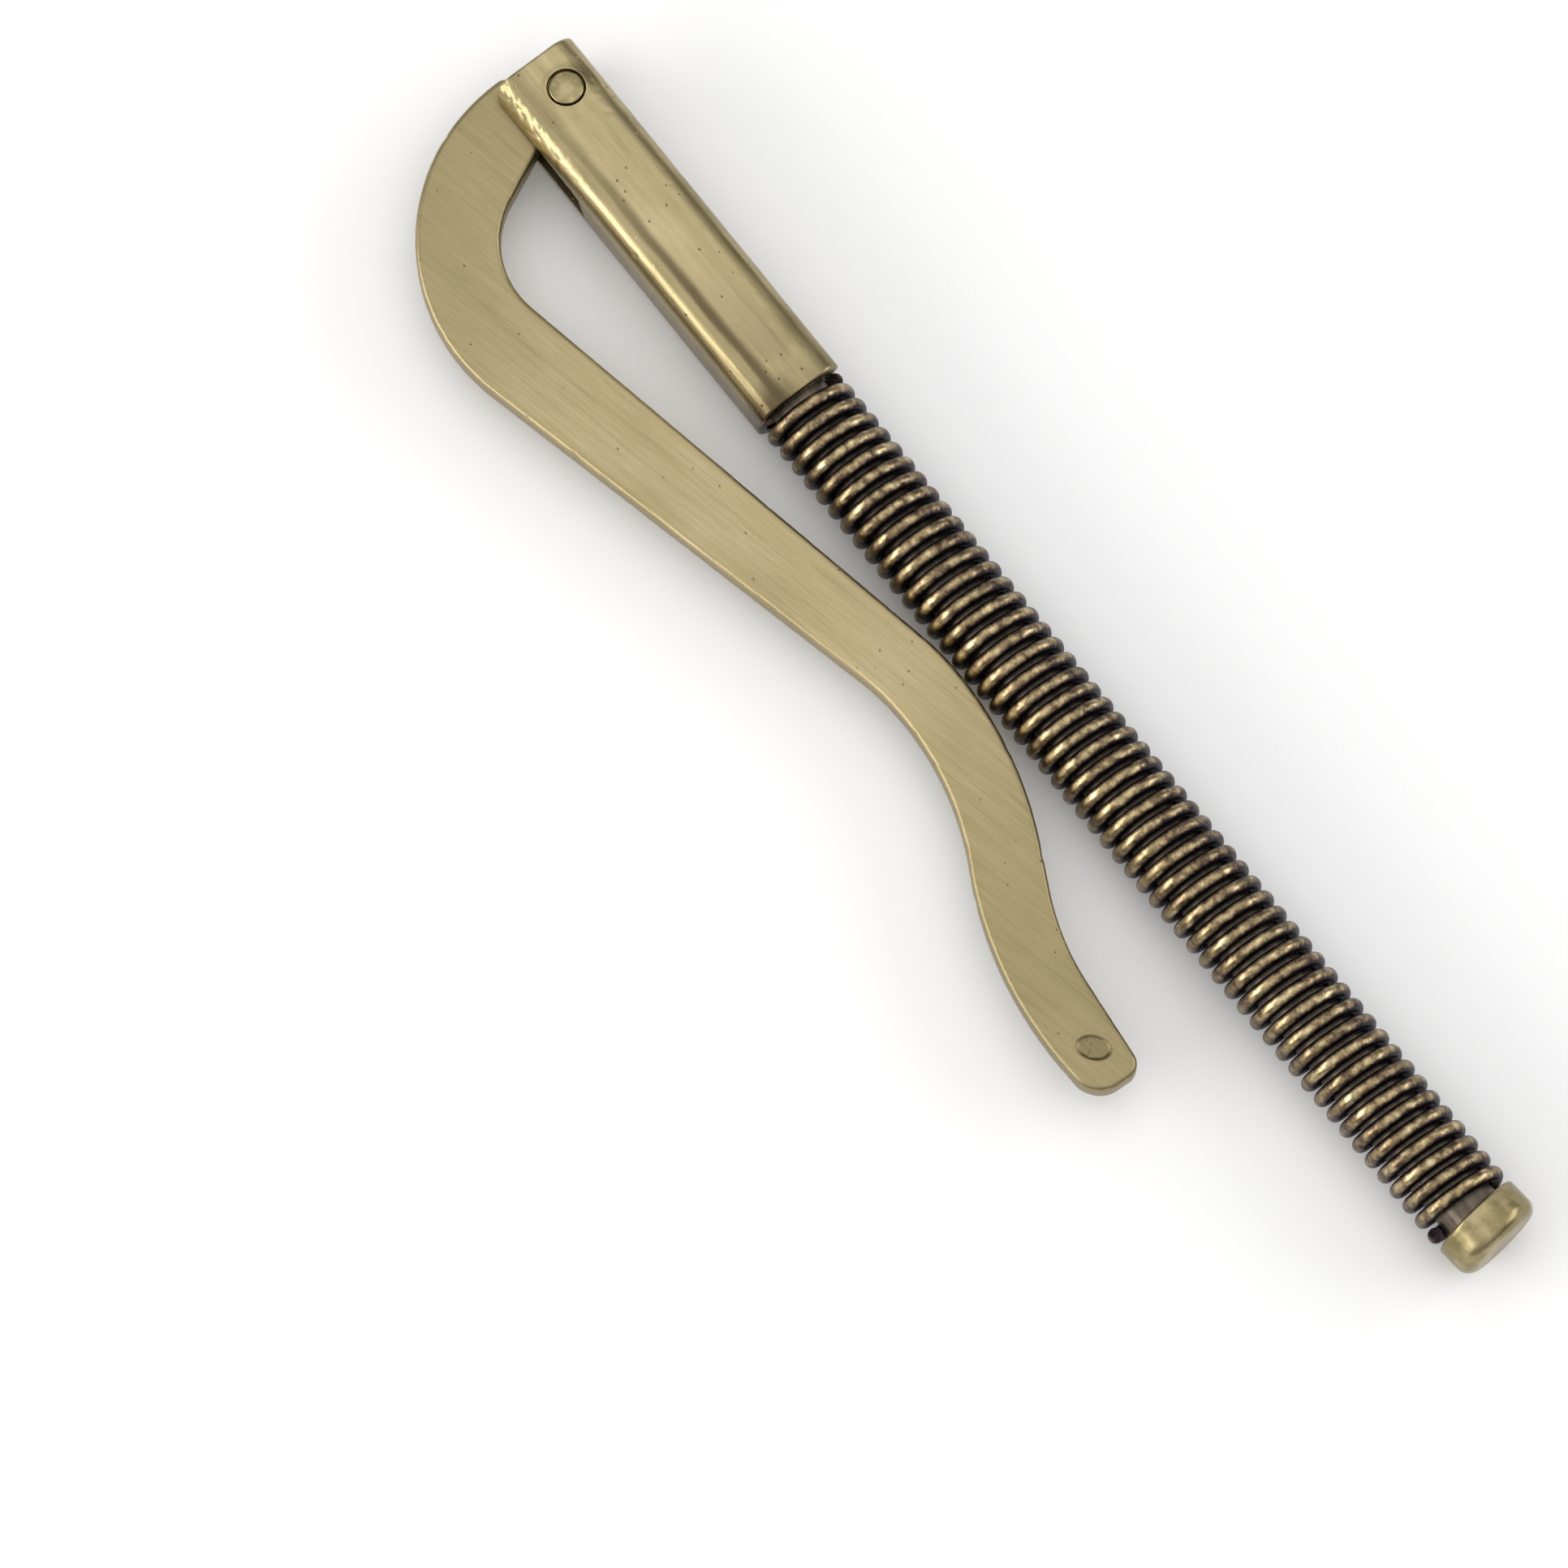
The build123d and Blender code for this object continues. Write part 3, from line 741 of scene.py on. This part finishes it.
def housing_relief(points, normals):
    """Dents, pits and the rubbed crinkles near the rivet, as a height along the normal."""
    draw = random.Random(SEED + 1)
    height = 0.010 * noise_at(points, 0.35, 11.0) + 0.005 * noise_at(points, 1.4, 12.0)
    # crinkles along the rounded edge beside the rivet
    rounded = smoothstep(0.15, 0.7, -normals[:, 1]) * smoothstep(0.05, 0.5, normals[:, 2])
    near_end = 1 - smoothstep(3.5, 8.5, points[:, 0])
    creases = np.abs(noise_at(points * np.array([1.0, 1.6, 1.6]), 1.5, 13.0))
    height -= 0.05 * rounded * near_end * (1 - smoothstep(0.0, 0.16, creases))
    # pits
    for _ in range(150):
        at = points[draw.randrange(len(points))]
        if draw.random() < 0.4:
            at = np.array([draw.uniform(0.3, 7.0), draw.uniform(-2.3, 2.3), HOUSING_HEIGHT / 2])
        size = draw.uniform(0.05, 0.14)
        d2 = ((points - at) ** 2).sum(axis=1)
        height -= draw.uniform(0.008, 0.035) * np.exp(-d2 / size**2)
    # the sheet stands up in a soft lip round the rivet
    d = np.hypot(points[:, 0] - PIVOT[0], points[:, 1] - PIVOT[1])
    front = smoothstep(0.6, 0.95, normals[:, 2])
    lip = 0.035 * np.exp(-(((d - 1.05) / 0.13) ** 2))
    hollow = 0.03 * np.exp(-(((d - 1.5) / 0.3) ** 2))
    height += front * (lip - hollow)
    return height


def set_askew(piece):
    """Turns a piece with the housing, about Z through the middle of the housing's far end."""
    pivot_x = HOUSING_LENGTH * MM
    turn = Matrix.Rotation(math.radians(-HOUSING_SKEW), 4, "Z")
    piece.data.transform(
        Matrix.Translation((pivot_x, 0, 0)) @ turn @ Matrix.Translation((-pivot_x, 0, 0))
    )


def build_housing():
    """The folded strip, with its window, notch, rivet hole and worn surface."""
    section = section_points()
    stations = housing_stations()
    across, along = len(section), len(stations)
    yz, normal_yz = section[:, :2], section[:, 2:]
    flange = np.concatenate([[0], np.cumsum(np.linalg.norm(np.diff(yz, axis=0), axis=1))])
    away = np.clip(BLANK_CORNER - flange, 0, BLANK_CORNER)
    start_x = BLANK_CORNER - np.sqrt(BLANK_CORNER**2 - away**2)

    longer_front = FRONT_WALL_EXTRA * smoothstep(-0.2, 1.6, yz[:, 1])
    outer, normals = [], []
    for x in stations:
        from_end = min(x, HOUSING_LENGTH - x)
        sunk = 0.0
        if from_end < END_ROUND:
            sunk = END_ROUND - math.sqrt(END_ROUND**2 - (END_ROUND - from_end) ** 2)
        trimmed = start_x * (1 - smoothstep(0.0, 4.0, x))
        trimmed = trimmed + longer_front * smoothstep(HOUSING_LENGTH - 4, HOUSING_LENGTH, x)
        for k in range(across):
            y, z = yz[k] - normal_yz[k] * sunk
            outer.append((x + trimmed[k], y, z))
            normals.append((0.0, normal_yz[k][0], normal_yz[k][1]))
    outer, normals = np.array(outer), np.array(normals)
    outer += normals * housing_relief(outer, normals)[:, None]
    inner = []
    for x in stations:
        trimmed = start_x * (1 - smoothstep(0.0, 4.0, x))
        trimmed = trimmed + longer_front * smoothstep(HOUSING_LENGTH - 4, HOUSING_LENGTH, x)
        for k in range(across):
            y, z = yz[k] - normal_yz[k] * SHEET
            inner.append((x + trimmed[k], y, z))
    points = [tuple(p) for p in outer] + inner
    shift = len(outer)
    faces = []
    for i in range(along - 1):
        for k in range(across - 1):
            a = i * across + k
            b = a + across
            faces.append((a, a + 1, b + 1, b))
            faces.append((shift + a, shift + b, shift + b + 1, shift + a + 1))
    for k in range(across - 1):
        faces.append((k, shift + k, shift + k + 1, k + 1))
        a = (along - 1) * across + k
        faces.append((a, a + 1, shift + a + 1, shift + a))
    for i in range(along - 1):
        for k in (0, across - 1):
            a = i * across + k
            b = a + across
            quad = (a, b, shift + b, shift + a)
            faces.append(quad if k == 0 else quad[::-1])
    piece = mesh_piece("housing_shell", points, faces)

    half = HOUSING_WIDTH / 2
    window_top = [(-1, 1.0), (4.4, 0.96), (SLOT_LENGTH - 0.5, 0.76)]
    window = window_top + [(SLOT_LENGTH, -SLOT_HALF), (-1, -SLOT_HALF)]
    cut(piece, prism("window", window, -half - 1, -half + SHEET + 0.45))
    notch = [(-1, SLOT_HALF), (NOTCH_DEPTH, SLOT_HALF), (NOTCH_DEPTH, -SLOT_HALF), (-1, -SLOT_HALF)]
    cut(piece, prism("notch", notch, half - SHEET - 0.45, half + 1))
    hole = circle(PIVOT, RIVET_HOLE_RADIUS, 56)
    cut(piece, prism("rivet_hole", hole, 1.2, 4.0, plane="xy"))
    back_hole = circle(PIVOT, RIVET_HEAD_RADIUS + 0.02, 48)
    cut(piece, prism("back_hole", back_hole, -4.0, -1.2, plane="xy"))

    # folded by hand: the strip sits a little askew on the rod
    set_askew(piece)
    shade(piece, 42)
    piece.data.materials.append(housing_brass())
    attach(piece, "housing")
    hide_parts("housing")
    return piece


# ---- turned pieces ------------------------------------------------------------------------


def lathe(name, profile, around, relief):
    """Turns (radius, height) points about the local +Z axis, with a relief function."""
    points, faces = [], []
    for radius, height in profile:
        for i in range(around):
            t = 2 * math.pi * i / around
            points.append((radius * math.cos(t), radius * math.sin(t), height))
    points = np.array(points)
    points = points + relief(points)
    for row in range(len(profile) - 1):
        for i in range(around):
            j = (i + 1) % around
            a, b = row * around, (row + 1) * around
            faces.append((a + i, a + j, b + j, b + i))
    last = (len(profile) - 1) * around
    faces.append(tuple(range(around))[::-1])
    faces.append(tuple(range(last, last + around)))
    return mesh_piece(name, [tuple(p) for p in points], faces)


def build_rivet():
    """Pivot rivet: domed front head struck uneven, shank, spread back head."""
    front, back = HOUSING_HEIGHT / 2, -HOUSING_HEIGHT / 2
    head = [(RIVET_HEAD_RADIUS, front - 0.45)]
    for i in range(7):
        t = math.pi / 2 * i / 6
        head.append((RIVET_HEAD_RADIUS - 0.14 + 0.14 * math.cos(t), front - 0.06 + 0.12 * math.sin(t)))
    dome = [(r, front + 0.06 + 0.035 * (1 - (r / 0.78) ** 2)) for r in np.arange(0.74, 0.02, -0.05)]
    shank = [
        (RIVET_HEAD_RADIUS, back - 0.01),
        (RIVET_SHANK_RADIUS, back + SHEET),
        (RIVET_SHANK_RADIUS, front - SHEET),
        (RIVET_HEAD_RADIUS, front - SHEET),
    ]

    def struck(points):
        on_top = smoothstep(front - 0.1, front + 0.05, points[:, 2])
        lift = 0.030 * noise_at(points, 1.9, 21.0) + 0.018 * noise_at(points, 4.5, 22.0)
        return np.column_stack([0 * lift, 0 * lift, lift * on_top])

    piece = lathe("rivet_pivot", shank + head + dome, 72, struck)
    piece.data.transform(Matrix.Translation((PIVOT[0] * MM, PIVOT[1] * MM, 0)))
    set_askew(piece)
    shade(piece, 50)
    piece.data.materials.append(cap_brass("rivet_brass"))
    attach(piece, "housing")
    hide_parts("pivot_rivet")
    return piece


CAP_TILT = 5.5
CAP_SHIFT_Y = 0.14


def build_cap():
    """End cap: a shallow cup pressed on the rod, a few degrees askew."""
    length = CAP_FRONT_X - CAP_BACK_X
    outer_round, back_round = 0.7, 0.18
    bore = ROD_RADIUS + 0.04
    profile = [(bore, 1.3), (bore, 0.02)]
    profile += [(r, 0.0) for r in np.linspace(bore + 0.05, CAP_RADIUS - back_round, 8)]
    for i in range(1, 6):
        t = math.pi / 2 * i / 5
        radius = CAP_RADIUS - back_round + back_round * math.sin(t)
        profile.append((radius, back_round - back_round * math.cos(t)))
    profile += [(CAP_RADIUS, z) for z in np.linspace(back_round + 0.1, length - outer_round - 0.05, 10)]
    for i in range(13):
        t = math.pi / 2 * i / 12
        radius = CAP_RADIUS - outer_round + outer_round * math.cos(t)
        profile.append((radius, length - outer_round + outer_round * math.sin(t)))
    profile += [(r, length) for r in np.linspace(CAP_RADIUS - outer_round - 0.08, 0.1, 18)]

    def worn(points):
        size = np.maximum(np.hypot(points[:, 0], points[:, 1]), 0.2)
        lift = 0.016 * noise_at(points, 0.9, 31.0) + 0.006 * noise_at(points, 3.4, 32.0)
        lift *= smoothstep(ROD_RADIUS + 0.1, ROD_RADIUS + 0.4, size)
        return np.column_stack([points[:, 0] / size * lift, points[:, 1] / size * lift, 0 * lift])

    piece = lathe("cap_end", profile, 120, worn)
    upright = Matrix.Rotation(math.pi / 2, 4, "Y")
    stand = Matrix.Translation((CAP_BACK_X * MM, CAP_SHIFT_Y * MM, 0)) @ upright
    middle = Matrix.Translation(((CAP_BACK_X + length / 2) * MM, 0, 0))
    tilt = middle @ Matrix.Rotation(math.radians(CAP_TILT), 4, "Z") @ middle.inverted()
    piece.data.transform(tilt @ stand)
    shade(piece, 50)
    piece.data.materials.append(cap_brass())
    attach(piece, "rod")
    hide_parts("end_cap")
    return piece


# ---- coil spring --------------------------------------------------------------------------

STEPS_PER_TURN = 56
WIRE_SIDES = 18
PITCH_UNEVENNESS = 0.07 * 0.12 / (2 * math.pi)
WIRE_WANDER = 0.018
SPRING_BOW = 0.045


def build_spring():
    """Left-handed coil of round wire, cut square at both ends."""
    start = HOUSING_LENGTH + SPRING_SEAT + WIRE_RADIUS
    end = CAP_BACK_X - SPRING_SEAT - WIRE_RADIUS
    coil_radius = SPRING_OUTER_RADIUS - WIRE_RADIUS
    count = round(SPRING_TURNS * STEPS_PER_TURN)
    points, faces = [], []
    for i in range(count + 1):
        share = i / count
        # the coils stand slightly closer together at the ends and in the middle
        spread = share - PITCH_UNEVENNESS * math.sin(4 * math.pi * share)
        turn = 2 * math.pi * SPRING_TURNS * share
        x = start + (end - start) * spread
        wander = WIRE_WANDER * noise.noise(Vector((share * 40, 3.1, 0)))
        bow = -SPRING_BOW * math.sin(math.pi * share)
        radius = coil_radius + wander
        centre = Vector((x, radius * math.cos(turn) + bow, -radius * math.sin(turn)))
        out = Vector((0, math.cos(turn), -math.sin(turn)))
        rise = (end - start) / (2 * math.pi * SPRING_TURNS * coil_radius)
        tangent = Vector((rise, -math.sin(turn), -math.cos(turn))).normalized()
        side = tangent.cross(out)
        for k in range(WIRE_SIDES):
            a = 2 * math.pi * k / WIRE_SIDES
            p = centre + WIRE_RADIUS * (math.cos(a) * out + math.sin(a) * side)
            points.append(tuple(p))
    for i in range(count):
        for k in range(WIRE_SIDES):
            j = (k + 1) % WIRE_SIDES
            a, b = i * WIRE_SIDES, (i + 1) * WIRE_SIDES
            faces.append((a + k, a + j, b + j, b + k))
    faces.append(tuple(range(WIRE_SIDES)))
    last = count * WIRE_SIDES
    faces.append(tuple(range(last + WIRE_SIDES - 1, last - 1, -1)))
    piece = mesh_piece("spring_coil", points, faces)
    shade(piece, 50)
    piece.data.materials.append(spring_wire())
    first, last = (HOUSING_LENGTH * MM, 0, 0), (CAP_BACK_X * MM, 0, 0)
    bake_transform(piece)
    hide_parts("coil_spring")
    return piece


# ---- camera, floor and light --------------------------------------------------------------

CAMERA_AZIMUTH = 51.65
CAMERA_ELEVATION = 75.0
CAMERA_DISTANCE = 0.49
CAMERA_LENS = 221.07
CAMERA_AIM = (0.037996, -0.01326, 0.0)
EXPOSURE = 0.22
FLOOR_SIZE = 1.2
FLOOR_STEPS = 24


def place_camera():
    azimuth, elevation = math.radians(CAMERA_AZIMUTH), math.radians(CAMERA_ELEVATION)
    back = Vector(
        (
            math.sin(azimuth) * math.cos(elevation),
            -math.cos(azimuth) * math.cos(elevation),
            math.sin(elevation),
        )
    )
    right = Vector((math.cos(azimuth), math.sin(azimuth), 0))
    up = back.cross(right)
    data = bpy.data.cameras.new("camera")
    data.lens = CAMERA_LENS
    data.sensor_width = 36
    data.clip_start = 0.01
    data.clip_end = 20
    camera = bpy.data.objects.new("camera", data)
    bpy.context.scene.collection.objects.link(camera)
    turn = Matrix((right, up, back)).transposed().to_4x4()
    camera.matrix_world = Matrix.Translation(Vector(CAMERA_AIM) + CAMERA_DISTANCE * back) @ turn
    bpy.context.scene.camera = camera
    return right, up


def soft_light(name, place, aim, size, watts, colour=(1, 1, 1)):
    data = bpy.data.lights.new(name, "AREA")
    data.shape = "RECTANGLE"
    data.size, data.size_y = size
    data.energy = watts
    data.color = colour
    light = bpy.data.objects.new(name, data)
    bpy.context.scene.collection.objects.link(light)
    light.location = place
    light.rotation_euler = (Vector(aim) - Vector(place)).to_track_quat("-Z", "Y").to_euler()
    return light


def light_tent():
    """World light: bright overhead and dim towards the horizon, so that roundings show bands."""
    world = bpy.data.worlds.new("tent")
    world.use_nodes = True
    tree = world.node_tree
    direction = tree.nodes.new("ShaderNodeTexCoord")
    axes = tree.nodes.new("ShaderNodeSeparateXYZ")
    ramp = tree.nodes.new("ShaderNodeValToRGB")
    stops = [(0.0, 0.22), (0.30, 0.20), (0.62, 0.62), (0.86, 0.92), (1.0, 0.95)]
    while len(ramp.color_ramp.elements) < len(stops):
        ramp.color_ramp.elements.new(0.5)
    for element, (position, level) in zip(ramp.color_ramp.elements, stops):
        element.position = position
        element.color = (level, level, level, 1)
    tree.links.new(direction.outputs["Generated"], axes.inputs[0])
    tree.links.new(axes.outputs["Z"], ramp.inputs[0])
    tree.links.new(ramp.outputs[0], tree.nodes["Background"].inputs["Color"])
    bpy.context.scene.world = world


def build_stage(right, up):
    """Pale floor under the clip and a light tent: one wide top light and two side boxes."""
    lowest = cad_bounds[0][2]
    middle = Vector(CAMERA_AIM)
    points, faces = [], []
    for i in range(FLOOR_STEPS + 1):
        for j in range(FLOOR_STEPS + 1):
            x = middle.x + FLOOR_SIZE * (i / FLOOR_STEPS - 0.5)
            y = middle.y + FLOOR_SIZE * (j / FLOOR_STEPS - 0.5)
            points.append((x / MM, y / MM, lowest / MM))
    for i in range(FLOOR_STEPS):
        for j in range(FLOOR_STEPS):
            a = i * (FLOOR_STEPS + 1) + j
            faces.append((a, a + FLOOR_STEPS + 1, a + FLOOR_STEPS + 2, a + 1))
    floor = mesh_piece("floor", points, faces)
    shade(floor)
    floor.data.materials.append(floor_white())

    light_tent()

    flat_right, flat_up = Vector((right.x, right.y, 0)), Vector((up.x, up.y, 0)).normalized()
    soft_light("top", middle + Vector((0, 0, 0.55)) + 0.16 * flat_up, middle, (0.42, 0.42), 0.10)
    side = (1.0, 0.975, 0.95)
    left_place = middle - 0.42 * flat_right - 0.10 * flat_up + Vector((0, 0, 0.16))
    soft_light("left", left_place, middle, (0.5, 0.2), 1.1, side)
    right_place = middle + 0.42 * flat_right + 0.10 * flat_up + Vector((0, 0, 0.18))
    soft_light("right", right_place, middle, (0.4, 0.2), 0.6)


# ---- put together -------------------------------------------------------------------------

build_arm()
build_housing()
build_rivet()
build_cap()
build_spring()


steel = plain_metal("rod_steel", (0.06, 0.048, 0.04), (0.24, 0.20, 0.15), 0.28, (0.2, 3.0, 3.0))
pin = plain_metal("pin_steel", (0.35, 0.34, 0.32), (0.55, 0.54, 0.52), 0.18, (3.0, 3.0, 0.3))
bush = plain_metal("bush_brass", (0.25, 0.18, 0.09), (0.50, 0.38, 0.20), 0.25, (0.5, 3.0, 3.0))
for node_name, material in (("draw_rod", steel), ("link_pin", pin), ("guide_bush", bush)):
    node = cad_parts[node_name]
    for index in range(len(node.material_slots)):
        node.material_slots[index].material = material

camera_right, camera_up = place_camera()
build_stage(camera_right, camera_up)
bpy.context.scene.view_settings.view_transform = "Standard"
bpy.context.scene.view_settings.exposure = EXPOSURE
